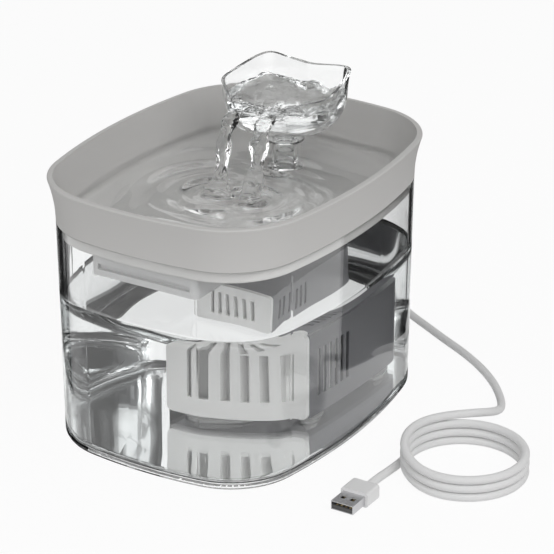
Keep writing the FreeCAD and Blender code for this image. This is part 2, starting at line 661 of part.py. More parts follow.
def grommet_faces():
    """Y of the rear wall's outer and inner face at the grommet, each with a little play."""
    outer = RIM_HALF_LENGTH - tank_inset(GROMMET_HEIGHT) + GROMMET_PLAY
    return outer, outer - TANK_WALL - 2 * GROMMET_PLAY


def make_grommet():
    """Grommet that fills the slot in the rear wall, with flanges and a tapered snout."""
    wall_out, wall_in = grommet_faces()
    half = GROMMET_HALF_WIDTH - RUNNING_GAP
    top = TANK_HEIGHT - 2 * SEAT_GAP
    under_tray = TRAY_UNDERSIDE - 4 * SEAT_GAP
    plug = block(-half, half, wall_in, wall_out, GROMMET_HEIGHT, under_tray)
    plug = plug.fuse(lengthwise(half, wall_in, wall_out, GROMMET_HEIGHT))
    step = wall_out - TANK_WALL + 2 * GROMMET_PLAY
    plug = plug.fuse(block(-half, half, step, wall_out, GROMMET_HEIGHT, top))
    wide = half + GROMMET_LAP
    low = GROMMET_HEIGHT - GROMMET_FOOT
    outside = block(-wide, wide, wall_out, wall_out + GROMMET_FLANGE, low, top - 1)
    inside = block(-wide, wide, wall_in - GROMMET_FLANGE, wall_in, low, under_tray)
    snout = Part.makeCone(CORD_RADIUS + SNOUT_ROOT_WALL, CORD_RADIUS + SNOUT_TIP_WALL, GROMMET_SNOUT,
                          Vector(0, wall_out + GROMMET_FLANGE, GROMMET_HEIGHT), BACKWARDS)
    return plug.fuse([outside, inside, snout])


def lead_exit():
    """Point where the free lead leaves the grommet's snout."""
    return Vector(0, grommet_faces()[0] + GROMMET_FLANGE + GROMMET_SNOUT, GROMMET_HEIGHT)


def three_point_arc(start, corner, end):
    """Arc tangent to both legs of a corner, from a point on one leg to its twin on the other."""
    middle = (start + end) * 0.5
    half_chord = (end - start).Length / 2
    rise = (corner - middle).Length
    leg = math.hypot(half_chord, rise)
    sagitta = half_chord * (leg - half_chord) / rise
    through = middle + (corner - middle) * (sagitta / rise)
    return Part.Arc(start, through, end).toShape()


def tube(edges, radius):
    """Round tube along joined edges."""
    path = Part.Wire(edges)
    first = edges[0]
    start = first.valueAt(first.FirstParameter)
    direction = first.tangentAt(first.FirstParameter)
    ring = Part.Wire(Part.Circle(start, direction, radius).toShape())
    solid = path.makePipeShell([ring], True, False)
    expected = math.pi * radius ** 2 * path.Length
    print("tube length", round(path.Length, 1), "volume ratio", round(solid.Volume / expected, 4))
    return solid


def routed(points, name):
    """Straight runs joined by tangent arcs as large as the runs allow."""
    edges = []
    here = points[0]
    smallest = None
    for i in range(1, len(points) - 1):
        before, corner, after = points[i - 1], points[i], points[i + 1]
        shorter = min((corner - before).Length, (after - corner).Length)
        leg = 0.45 * shorter
        back = (before - corner).normalize()
        ahead = (after - corner).normalize()
        start = corner + back * leg
        end = corner + ahead * leg
        half_turn = (math.pi - back.getAngle(ahead)) / 2
        radius = leg / math.tan(half_turn)
        smallest = radius if smallest is None else min(smallest, radius)
        print(name, "corner", i, "turn", round(math.degrees(2 * half_turn), 1), "radius", round(radius, 1),
              "in diameters", round(radius / (2 * CORD_RADIUS), 1))
        edges.append(Part.LineSegment(here, start).toShape())
        edges.append(three_point_arc(start, corner, end))
        here = end
    edges.append(Part.LineSegment(here, points[-1]).toShape())
    print(name, "smallest radius", round(smallest, 1))
    return edges


def coil_station(angle):
    """Point and direction on the coil: level turns that step down a layer in a quarter turn."""
    layer = 2 * CORD_RADIUS + COIL_TURN_GAP
    steps = [(270, 180), (630, 540), (990, 900)]
    z = CORD_RADIUS + layer * sum(1 for low, high in steps if angle < low)
    turn = math.radians(angle)
    point = COIL_CENTRE + Vector(COIL_RADIUS * math.cos(turn), COIL_RADIUS * math.sin(turn), z)
    return point, Vector(-math.sin(turn), math.cos(turn), 0)


def biarc(start, start_way, end, end_way):
    """Two tangent arcs between two points with given directions, with legs of equal length."""
    chord = end - start
    ways = start_way + end_way
    a = ways.dot(ways) - 4
    b = -2 * chord.dot(ways)
    c = chord.dot(chord)
    leg = (-b - math.sqrt(b * b - 4 * a * c)) / (2 * a)
    first = start + start_way * leg
    last = end - end_way * leg
    join = (first + last) * 0.5
    return [three_point_arc(start, first, join), three_point_arc(join, last, end)]


def coil_edges():
    """The coil's path, with a straight lead of one diameter at each end."""
    angles = [COIL_START_ANGLE]
    while angles[-1] < COIL_END_ANGLE:
        angles.append(min(90 * (math.floor(angles[-1] / 90) + 1), COIL_END_ANGLE))
    edges = []
    point, way = coil_station(angles[0])
    edges.append(Part.LineSegment(point - way * 2 * CORD_RADIUS, point).toShape())
    for angle in angles[1:]:
        next_point, next_way = coil_station(angle)
        edges.extend(biarc(point, way, next_point, next_way))
        point, way = next_point, next_way
    edges.append(Part.LineSegment(point, point + way * 2 * CORD_RADIUS).toShape())
    return edges


def least_gap(edges):
    """Smallest clear distance between turns of the coil, measured on points along its path."""
    points = []
    for edge in edges:
        points.extend(edge.discretize(9)[:-1])
    skip = int(len(points) / 8)
    nearest = min((points[i] - points[j]).Length for i in range(len(points))
                  for j in range(i + skip, len(points)))
    return nearest - 2 * CORD_RADIUS


def coil_ends():
    """The two points where the free lead meets the coil."""
    start, start_way = coil_station(COIL_START_ANGLE)
    end, end_way = coil_station(COIL_END_ANGLE)
    return start - start_way * 2 * CORD_RADIUS, end + end_way * 2 * CORD_RADIUS


def lead_route():
    """Free stretch of the lead from the grommet down to the floor and along it to the coil."""
    floor = CORD_RADIUS
    start = lead_exit()
    drop = [(0.1, 12.0, 1.0), (0.7, 24.3, 0.935), (1.3, 31.5, 0.81), (1.9, 34.2, 0.66), (2.4, 35.2, 0.5),
            (3.4, 35.8, 0.35), (5.8, 36.6, 0.205), (12.0, 36.9, 0.086), (24.5, 34.5, 0.025)]
    points = [start] + [Vector(x, start.y + y, GROMMET_HEIGHT * share) for x, y, share in drop]
    points += [Vector(39.5, 128.2, floor), Vector(55.0, 118.8, floor), Vector(71.5, 109.7, floor),
               Vector(88.0, 98.5, floor), Vector(102.5, 85.5, floor), Vector(113.5, 71.5, 2.4),
               Vector(120.5, 59.0, 4.6), Vector(124.8, 47.2, 8.6), Vector(126.0, 35.8, 13.0)]
    meet = coil_ends()[0]
    way = coil_station(COIL_START_ANGLE)[1]
    return points + [meet - way * LEAD_APPROACH, meet]


def tail_route():
    """Free stretch from the coil to the plug."""
    start = coil_ends()[1]
    return [start, Vector(103.5, -19.0, CORD_RADIUS), Vector(103.3, -30.0, 2.7), Vector(PLUG_X, -41.0, 3.9),
            Vector(PLUG_X, PLUG_BACK, 3.9)]


def inner_route():
    """Lead inside the tank, from the pump's boot up to the grommet."""
    end = grommet_faces()[1] - GROMMET_FLANGE
    low = CASE_TOP + BOOT_TALL
    rise = GROMMET_HEIGHT - low
    reach = end - BOOT_Y
    shares = [(0, 0), (0, 0.25), (0.03, 0.524), (0.163, 0.769), (0.423, 0.936), (0.718, 1.0), (1.0, 1.0)]
    return [Vector(0, BOOT_Y + reach * across, low + rise * up) for across, up in shares]


def make_plug():
    """Plug: moulded housing, folded metal shell with two square windows, tongue and four contacts."""
    back = PLUG_BACK
    front = back - PLUG_BODY_LENGTH
    low = PLUG_LIFT
    middle = low + PLUG_BODY_HEIGHT / 2
    half = PLUG_BODY_WIDTH / 2
    housing = block(PLUG_X - half, PLUG_X + half, front, back, low, low + PLUG_BODY_HEIGHT)
    edges = [e for e in housing.Edges if abs(e.tangentAt(e.FirstParameter).y) > 0.9]
    housing = housing.makeFillet(PLUG_EDGE, edges)
    rear = [e for e in housing.Edges if abs(e.BoundBox.YMin - back) < 0.01]
    housing = housing.makeFillet(PLUG_REAR_EDGE, rear)
    x0 = PLUG_X - SHELL_WIDTH / 2
    x1 = PLUG_X + SHELL_WIDTH / 2
    z0 = middle - SHELL_HEIGHT / 2
    z1 = middle + SHELL_HEIGHT / 2
    tip = front - SHELL_LENGTH
    sheet = SHELL_SHEET
    shell = block(x0, x1, tip, front, z0, z1)
    shell = shell.cut(block(x0 + sheet, x1 - sheet, tip - 1, front + 1, z0 + sheet, z1 - sheet))
    for side in (-1, 1):
        x = PLUG_X + side * WINDOW_OFFSET
        shell = shell.cut(block(x - WINDOW_SIDE / 2, x + WINDOW_SIDE / 2, tip + WINDOW_BACK,
                                tip + WINDOW_BACK + WINDOW_SIDE, z0 - 1, z1 + 1))
    top = z0 + sheet + TONGUE_THICKNESS
    tongue = block(x0 + sheet, x1 - sheet, tip + 2 * sheet, front, z0 + sheet, top)
    contacts = []
    for i in range(4):
        x = PLUG_X + (i - 1.5) * CONTACT_PITCH
        contacts.append(block(x - CONTACT_WIDTH / 2, x + CONTACT_WIDTH / 2, tip + 5 * sheet, front, top,
                              top + CONTACT_THICKNESS))
    return housing, shell, tongue, Part.makeCompound(contacts)


def main():
    os.makedirs("parts", exist_ok=True)
    export("tank", make_tank())
    export("drinking_tray", make_tray())
    export("stem_tube", make_stem())
    export("riser_pipe", make_riser())
    export("petal_bowl", make_bowl())
    export("filter_drawer", make_filter_box())
    frame, carbon, cotton = make_cartridge()
    export("cartridge_frame", frame)
    export("carbon_pad", carbon)
    export("cotton_pad", cotton)
    export("pump_case", make_case())
    export("case_door", make_door())
    export("intake_sponge", make_sponge())
    export("suction_cups", make_cups())
    export("pump_body", make_pump_body())
    core, coil = make_stator()
    export("stator_core", core)
    export("stator_coil", coil)
    export("volute_cover", make_volute_cover())
    export("flow_dial", make_dial())
    shaft, bushes, magnet, impeller = make_rotor()
    export("impeller_shaft", shaft)
    export("shaft_bushes", bushes)
    export("rotor_magnet", magnet)
    export("impeller", impeller)
    export("pump_boot", make_boot())
    export("lead_grommet", make_grommet())
    export("inner_lead", tube(routed(inner_route(), "inner lead"), CORD_RADIUS))
    export("free_lead", tube(routed(lead_route(), "free lead"), CORD_RADIUS))
    turns = coil_edges()
    print("coil least gap", round(least_gap(turns), 2))
    export("lead_coil", tube(turns, CORD_RADIUS))
    export("lead_tail", tube(routed(tail_route(), "lead tail"), CORD_RADIUS))
    housing, shell, tongue, contacts = make_plug()
    export("plug_housing", housing)
    export("plug_shell", shell)
    export("plug_tongue", tongue)
    export("plug_contacts", contacts)


main()
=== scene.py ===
"""Looks of the pet water fountain: clear tank, drinking tray, petal bowl, filter, pump, water and lead.

Metres, in the CAD frame: +Z up, +Y to the back where the petal bowl stands, origin on the floor.
"""

import json
import logging
import math
from dataclasses import dataclass, field
from enum import Enum

import bpy
import numpy as np
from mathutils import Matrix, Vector

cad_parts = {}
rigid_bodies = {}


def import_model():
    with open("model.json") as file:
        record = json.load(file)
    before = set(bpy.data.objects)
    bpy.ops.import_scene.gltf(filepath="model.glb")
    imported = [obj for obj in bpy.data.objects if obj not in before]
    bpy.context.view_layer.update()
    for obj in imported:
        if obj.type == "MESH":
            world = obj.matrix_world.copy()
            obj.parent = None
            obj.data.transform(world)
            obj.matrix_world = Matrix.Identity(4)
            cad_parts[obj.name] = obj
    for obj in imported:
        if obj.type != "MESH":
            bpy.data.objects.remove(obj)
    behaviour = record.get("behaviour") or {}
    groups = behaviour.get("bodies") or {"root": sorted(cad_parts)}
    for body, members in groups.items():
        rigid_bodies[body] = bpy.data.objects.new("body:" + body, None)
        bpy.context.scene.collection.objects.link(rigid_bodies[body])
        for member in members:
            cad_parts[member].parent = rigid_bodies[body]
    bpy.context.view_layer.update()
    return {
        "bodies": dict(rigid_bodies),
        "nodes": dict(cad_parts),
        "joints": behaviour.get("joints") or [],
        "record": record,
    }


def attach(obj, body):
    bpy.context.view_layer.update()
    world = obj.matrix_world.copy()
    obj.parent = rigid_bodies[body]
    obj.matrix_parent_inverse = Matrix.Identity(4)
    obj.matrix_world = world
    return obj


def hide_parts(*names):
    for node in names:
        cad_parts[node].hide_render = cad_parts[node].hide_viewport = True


LOG = logging.getLogger("fountain")
MM = 0.001
MATT = 1.0

# Noise that varies the moulded grain from place to place
BROAD_GRAIN = 28.0
NOISE_MIDDLE = 0.5

# Rings of a flat floor of water, and the shares of its edge between which they lie
FLOOR_RINGS = 6
FLOOR_SHARES = (0.1, 0.95)


class Stream(Enum):
    """The two strands of water that fall from the bowl's front lips."""

    LEFT = "left"
    RIGHT = "right"


class Seen(Enum):
    """Kinds of ray that see the white background at full strength."""

    CAMERA = "Is Camera Ray"
    GLOSSY = "Is Glossy Ray"
    TRANSMISSION = "Is Transmission Ray"


# Shared shader effects


def moulded_grain_group() -> bpy.types.NodeTree:
    """Node group of a fine moulded grain, from two sizes of noise on Object coordinates.

    Height is the fine noise. Roughness is the input plus Spread times the broad noise less its middle.

    Returns:
        The group, with inputs Scale, Roughness and Spread and outputs Height and Roughness.
    """
    found = bpy.data.node_groups.get("moulded_grain")
    if found:
        return found
    tree = bpy.data.node_groups.new("moulded_grain", "ShaderNodeTree")
    for name, default in (("Scale", 900.0), ("Roughness", 0.4), ("Spread", 0.05)):
        socket = tree.interface.new_socket(name, in_out="INPUT", socket_type="NodeSocketFloat")
        socket.default_value = default
    for name in ("Height", "Roughness"):
        tree.interface.new_socket(name, in_out="OUTPUT", socket_type="NodeSocketFloat")
    nodes, links = tree.nodes, tree.links
    entry = nodes.new("NodeGroupInput")
    leave = nodes.new("NodeGroupOutput")
    coords = nodes.new("ShaderNodeTexCoord")
    fine = nodes.new("ShaderNodeTexNoise")
    broad = nodes.new("ShaderNodeTexNoise")
    broad.inputs["Scale"].default_value = BROAD_GRAIN
    centred = nodes.new("ShaderNodeMath")
    centred.operation = "SUBTRACT"
    centred.inputs[1].default_value = NOISE_MIDDLE
    spread = nodes.new("ShaderNodeMath")
    spread.operation = "MULTIPLY_ADD"
    links.new(coords.outputs["Object"], fine.inputs["Vector"])
    links.new(coords.outputs["Object"], broad.inputs["Vector"])
    links.new(entry.outputs["Scale"], fine.inputs["Scale"])
    links.new(fine.outputs["Fac"], leave.inputs["Height"])
    links.new(broad.outputs["Fac"], centred.inputs[0])
    links.new(centred.outputs[0], spread.inputs[0])
    links.new(entry.outputs["Spread"], spread.inputs[1])
    links.new(entry.outputs["Roughness"], spread.inputs[2])
    links.new(spread.outputs[0], leave.inputs["Roughness"])
    return tree


def speckle_group() -> bpy.types.NodeTree:
    """Node group of cells of uneven tone, for carbon grains, sponge pores and felted fibre.

    Colour goes from Dark at a cell's middle to Light with distance from it, and Height is the distance.

    Returns:
        The group, with inputs Scale, Dark and Light and outputs Colour and Height.
    """
    found = bpy.data.node_groups.get("speckle")
    if found:
        return found
    tree = bpy.data.node_groups.new("speckle", "ShaderNodeTree")
    scale = tree.interface.new_socket("Scale", in_out="INPUT", socket_type="NodeSocketFloat")
    scale.default_value = 700.0
    for name in ("Dark", "Light"):
        tree.interface.new_socket(name, in_out="INPUT", socket_type="NodeSocketColor")
    tree.interface.new_socket("Colour", in_out="OUTPUT", socket_type="NodeSocketColor")
    tree.interface.new_socket("Height", in_out="OUTPUT", socket_type="NodeSocketFloat")
    nodes, links = tree.nodes, tree.links
    entry = nodes.new("NodeGroupInput")
    leave = nodes.new("NodeGroupOutput")
    coords = nodes.new("ShaderNodeTexCoord")
    cells = nodes.new("ShaderNodeTexVoronoi")
    mix = nodes.new("ShaderNodeMix")
    mix.data_type = "RGBA"
    links.new(coords.outputs["Object"], cells.inputs["Vector"])
    links.new(entry.outputs["Scale"], cells.inputs["Scale"])
    links.new(cells.outputs["Distance"], mix.inputs["Factor"])
    links.new(entry.outputs["Dark"], mix.inputs["A"])
    links.new(entry.outputs["Light"], mix.inputs["B"])
    links.new(mix.outputs["Result"], leave.inputs["Colour"])
    links.new(cells.outputs["Distance"], leave.inputs["Height"])
    return tree


# Finishes


def new_material(name: str) -> tuple[bpy.types.Material, bpy.types.ShaderNode]:
    """New material with a Principled BSDF.

    Args:
        name: The material's name.

    Returns:
        The material and its Principled node.
    """
    material = bpy.data.materials.new(name)
    material.use_nodes = True
    return material, material.node_tree.nodes["Principled BSDF"]


def plain(tone: float) -> tuple[float, float, float, float]:
    """Gray of one tone as a socket's colour."""
    return (tone, tone, tone, 1.0)


@dataclass(frozen=True)
class Moulded:
    """Opaque moulded plastic, silicone or metal with a fine grain."""

    name: str
    colour: tuple[float, float, float]
    roughness: float
    metallic: float = 0.0
    grain_scale: float = 900.0
    grain_depth: float = 0.00002
    spread: float = 0.06

    def material(self) -> bpy.types.Material:
        """Build the material, or find it built: base colour, metallic, and grain in roughness and bump.

        Returns:
            The material.
        """
        found = bpy.data.materials.get(self.name)
        if found:
            return found
        material, shader = new_material(self.name)
        nodes, links = material.node_tree.nodes, material.node_tree.links
        shader.inputs["Base Color"].default_value = (*self.colour, 1.0)
        shader.inputs["Metallic"].default_value = self.metallic
        grain = nodes.new("ShaderNodeGroup")
        grain.node_tree = moulded_grain_group()
        grain.inputs["Scale"].default_value = self.grain_scale
        grain.inputs["Roughness"].default_value = self.roughness
        grain.inputs["Spread"].default_value = self.spread
        bump = nodes.new("ShaderNodeBump")
        bump.inputs["Distance"].default_value = self.grain_depth
        links.new(grain.outputs["Height"], bump.inputs["Height"])
        links.new(bump.outputs["Normal"], shader.inputs["Normal"])
        links.new(grain.outputs["Roughness"], shader.inputs["Roughness"])
        return material


@dataclass(frozen=True)
class Speckled:
    """Granular, felted or open-celled soft material."""

    name: str
    dark: tuple[float, float, float]
    light: tuple[float, float, float]
    scale: float
    depth: float = 0.0004
    roughness: float = 0.9

    def material(self) -> bpy.types.Material:
        """Build the material, or find it built: cells between two tones, with the same cells as relief.

        Returns:
            The material.
        """
        found = bpy.data.materials.get(self.name)
        if found:
            return found
        material, shader = new_material(self.name)
        nodes, links = material.node_tree.nodes, material.node_tree.links
        cells = nodes.new("ShaderNodeGroup")
        cells.node_tree = speckle_group()
        cells.inputs["Scale"].default_value = self.scale
        cells.inputs["Dark"].default_value = (*self.dark, 1.0)
        cells.inputs["Light"].default_value = (*self.light, 1.0)
        bump = nodes.new("ShaderNodeBump")
        bump.inputs["Distance"].default_value = self.depth
        shader.inputs["Roughness"].default_value = self.roughness
        links.new(cells.outputs["Colour"], shader.inputs["Base Color"])
        links.new(cells.outputs["Height"], bump.inputs["Height"])
        links.new(bump.outputs["Normal"], shader.inputs["Normal"])
        return material


@dataclass(frozen=True)
class Clear:
    """Clear moulded plastic or water: full transmission with a plain index."""

    name: str
    colour: tuple[float, float, float]
    index: float
    roughness: float = 0.0

    def material(self) -> bpy.types.Material:
        """Build the material, or find it built.

        Returns:
            The material.
        """
        found = bpy.data.materials.get(self.name)
        if found:
            return found
        material, shader = new_material(self.name)
        shader.inputs["Base Color"].default_value = (*self.colour, 1.0)
        shader.inputs["Transmission Weight"].default_value = 1.0
        shader.inputs["IOR"].default_value = self.index
        shader.inputs["Roughness"].default_value = self.roughness
        return material


CLEAR_PLASTIC = Clear("clear_plastic", (0.985, 0.99, 0.99), 1.49)
WATER = Clear("water", (0.99, 0.995, 0.995), 1.333)
WARM_GRAY = Moulded("warm_gray_plastic", (0.33, 0.325, 0.315), 0.36, grain_depth=0.00001)
INNER_GRAY = Moulded("gray_inner_plastic", (0.37, 0.365, 0.355), 0.42)
DARK_GRAY = Moulded("dark_gray_plastic", (0.045, 0.045, 0.047), 0.4)
BLACK = Moulded("black_plastic", (0.012, 0.012, 0.013), 0.38)
WHITE_PLASTIC = Moulded("white_plastic", (0.78, 0.78, 0.76), 0.4)
SILICONE = Moulded("silicone", (0.62, 0.62, 0.61), 0.55)
LEAD_WHITE = Moulded("white_lead", (0.72, 0.72, 0.71), 0.42, grain_depth=0.00001)
PLUG_WHITE = Moulded("white_plug", (0.76, 0.76, 0.755), 0.35)
PLUG_METAL = Moulded("plug_metal", (0.5, 0.5, 0.51), 0.32, metallic=1.0, grain_depth=0.000005)
STATOR_STEEL = Moulded("stator_steel", (0.42, 0.42, 0.44), 0.4, metallic=1.0)
CASE_WHITE = Moulded("white_door", (0.86, 0.86, 0.85), 0.3)
COPPER = Moulded("copper", (0.72, 0.32, 0.16), 0.35, metallic=1.0)
CERAMIC = Moulded("ceramic", (0.84, 0.83, 0.79), 0.25)
MAGNET = Moulded("magnet", (0.02, 0.02, 0.024), 0.45)
INSULATOR = Moulded("plug_insulator", (0.02, 0.02, 0.022), 0.45)
GOLD = Moulded("gold_contacts", (0.85, 0.6, 0.22), 0.25, metallic=1.0)
CARBON = Speckled("carbon_foam", (0.006, 0.006, 0.006), (0.05, 0.05, 0.05), 700.0)
COTTON = Speckled("cotton", (0.6, 0.6, 0.58), (0.85, 0.85, 0.83), 1500.0, 0.0002)
SPONGE = Speckled("sponge", (0.66, 0.66, 0.65), (0.84, 0.84, 0.83), 1100.0)


# Meshes


def ring_solid(name: str, rings: np.ndarray, first: np.ndarray, last: np.ndarray) -> bpy.types.Object:
    """Closed surface through rings: neighbouring rings are joined by quads, the end rings close on a pole.

    Args:
        name: The piece's name.
        rings: Points, shaped (rings, points per ring, 3), in metres.
        first: Pole inside the first ring.
        last: Pole inside the last ring.

    Returns:
        The piece, with its faces outwards.
    """
    rows, columns = rings.shape[:2]
    points = np.concatenate([rings.reshape(-1, 3), first[None, :], last[None, :]])
    here = np.arange(columns)
    after = (here + 1) % columns
    start = (np.arange(rows - 1) * columns)[:, None]
    quads = np.stack([start + here, start + after, start + columns + after, start + columns + here], axis=-1)
    quads = quads.reshape(-1, 4)
    top = (rows - 1) * columns
    low = np.stack([after, here, np.full(columns, rows * columns)], axis=-1)
    high = np.stack([top + here, top + after, np.full(columns, rows * columns + 1)], axis=-1)
    tris = np.concatenate([low, high, quads[:, [0, 1, 2]], quads[:, [0, 2, 3]]])
    corners = points[tris]
    volume = np.einsum("ij,ij->i", corners[:, 0], np.cross(corners[:, 1], corners[:, 2])).sum()
    if volume < 0:
        quads, low, high = quads[:, ::-1], low[:, ::-1], high[:, ::-1]
    mesh = bpy.data.meshes.new(name)
    mesh.from_pydata(points.tolist(), [], low.tolist() + quads.tolist() + high.tolist())
    mesh.polygons.foreach_set("use_smooth", np.ones(len(mesh.polygons), dtype=bool))
    mesh.update()
    piece = bpy.data.objects.new(name, mesh)
    bpy.context.scene.collection.objects.link(piece)
    return piece


def plane(name: str, corners: list[tuple[float, float, float]]) -> bpy.types.Object:
    """One flat four-cornered face.

    Args:
        name: The object's name.
        corners: Its corners in order, in metres.

    Returns:
        The object.
    """
    mesh = bpy.data.meshes.new(name)
    mesh.from_pydata(corners, [], [(0, 1, 2, 3)])
    mesh.update()
    made = bpy.data.objects.new(name, mesh)
    bpy.context.scene.collection.objects.link(made)
    return made


def smooth_step(x: np.ndarray) -> np.ndarray:
    """Cubic blend of x held between 0 and 1: three times its square less twice its cube."""
    held = np.clip(x, 0.0, 1.0)
    return held * held * (3.0 - 2.0 * held)


def at_height(plan: np.ndarray, z: float | np.ndarray) -> np.ndarray:
    """Plan points, shaped (n, 2), stood at one height or at n heights."""
    return np.column_stack([plan, np.broadcast_to(z, len(plan))])


@dataclass(frozen=True)
class PlanOutline:
    """Plan of tank and tray: eight tangent arcs, as a parallel curve of the rim at any inset."""

    half_length: float = 0.095
    half_width: float = 0.075
    corner_radius: float = 0.044
    end_bulge: float = 0.0125
    side_bulge: float = 0.015
    arcs: int = 8

    def ring(self, inset: float, per_arc: int = 28) -> np.ndarray:
        """Points of the outline: centre plus (radius less inset) times (cos, sin) over each arc's span.

        Args:
            inset: Distance inwards from the rim.
            per_arc: Points on each arc.

        Returns:
            Points shaped (arcs per_arc, 2).
        """
        end = (self.half_width**2 + self.end_bulge**2) / (2 * self.end_bulge)
        side = (self.half_length**2 + self.side_bulge**2) / (2 * self.side_bulge)
        end_centre = np.array([0.0, self.half_length - end])
        side_centre = np.array([self.half_width - side, 0.0])
        between = end_centre - side_centre
        span = np.linalg.norm(between)
        to_side, to_end = side - self.corner_radius, end - self.corner_radius
        along = (to_side**2 - to_end**2 + span**2) / (2 * span)
        across = math.sqrt(to_side**2 - along**2)
        unit = between / span
        corner = side_centre + unit * along + np.array([-unit[1], unit[0]]) * across
        low = math.atan2(*(corner - side_centre)[::-1])
        high = math.atan2(*(corner - end_centre)[::-1])
        mirrored = corner * np.array([-1.0, 1.0])
        arcs = [
            (side_centre, side, -low, low),
            (corner, self.corner_radius, low, high),
            (end_centre, end, high, math.pi - high),
            (mirrored, self.corner_radius, math.pi - high, math.pi - low),
        ]
        half = []
        for centre, radius, start, stop in arcs:
            turn = np.linspace(start, stop, per_arc, endpoint=False)
            half.append(centre + (radius - inset) * np.stack([np.cos(turn), np.sin(turn)], axis=-1))
        first = np.concatenate(half)
        return np.concatenate([first, -first])


PLAN = PlanOutline()


def rounded_foot(inset: float, floor: float, radius: float, steps: int) -> list[tuple[float, float]]:
    """Quarter round from a floor up to a wall.

    The inset grows by the radius times (1 less sine) and the height by the radius times (1 less cosine).

    Args:
        inset: Inset of the wall.
        floor: Height of the floor.
        radius: Radius of the round.
        steps: Points on it.

    Returns:
        (inset, height) pairs from the floor up.
    """
    turns = np.radians(np.linspace(0, 90, steps))
    return [(inset + radius * (1 - math.sin(t)), floor + radius * (1 - math.cos(t))) for t in turns]


def filled_rings(profile: list[tuple[float, float]]) -> list[np.ndarray]:
    """Rings of a filled shape: a flat floor from the middle outwards, then the profile's wall.

    Args:
        profile: (inset, height) pairs of the wall from the floor up.

    Returns:
        Rings, each shaped (points, 3).
    """
    inset, z = profile[0]
    edge = PLAN.ring(inset)
    rings = [at_height(edge * share, z) for share in np.linspace(*FLOOR_SHARES, FLOOR_RINGS)]
    for inset, z in profile:
        rings.append(at_height(PLAN.ring(inset), z))
    return rings


@dataclass(frozen=True)
class Wave:
    """Straight wave on water: its height in metres, and its radians to a metre across and back."""

    height: float
    across: float
    back: float
    phase: float = 0.0

    def at(self, x: np.ndarray, y: np.ndarray) -> np.ndarray:
        """Height times the sine of across times x plus back times y plus the phase."""
        return self.height * np.sin(self.across * x + self.back * y + self.phase)


@dataclass(frozen=True)
class RingWave:
    """Round wave about the place where water lands."""

    height: float
    length: float
    reach: float

    def at(self, away: np.ndarray) -> np.ndarray:
        """Height times e to the minus distance over reach, times the cosine of the turns in the distance."""
        return self.height * np.exp(-away / self.reach) * np.cos(2 * math.pi * away / self.length)


@dataclass(frozen=True)
class Swing:
    """Even swing along a falling strand."""

    size: float
    rate: float

    def at(self, share: np.ndarray, phase: float) -> np.ndarray:
        """Size times the sine of share times rate plus the phase."""
        return self.size * np.sin(share * self.rate + phase)


def dress(frame: dict, finish: Moulded | Speckled | Clear, *names: str) -> None:
    """Give CAD nodes one finish.

    Args:
        finish: The finish.
        names: The nodes.
    """
    for name in names:
        node = frame["nodes"][name]
        node.data.materials.clear()
        node.data.materials.append(finish.material())
        LOG.info("%s dressed in %s", name, finish.name)


def let_light_through(*pieces: bpy.types.Object) -> None:
    """Let the lamps shine through clear pieces, which would otherwise cast the shadow of a solid."""
    for piece in pieces:
        piece.visible_shadow = False


# Sub-assemblies


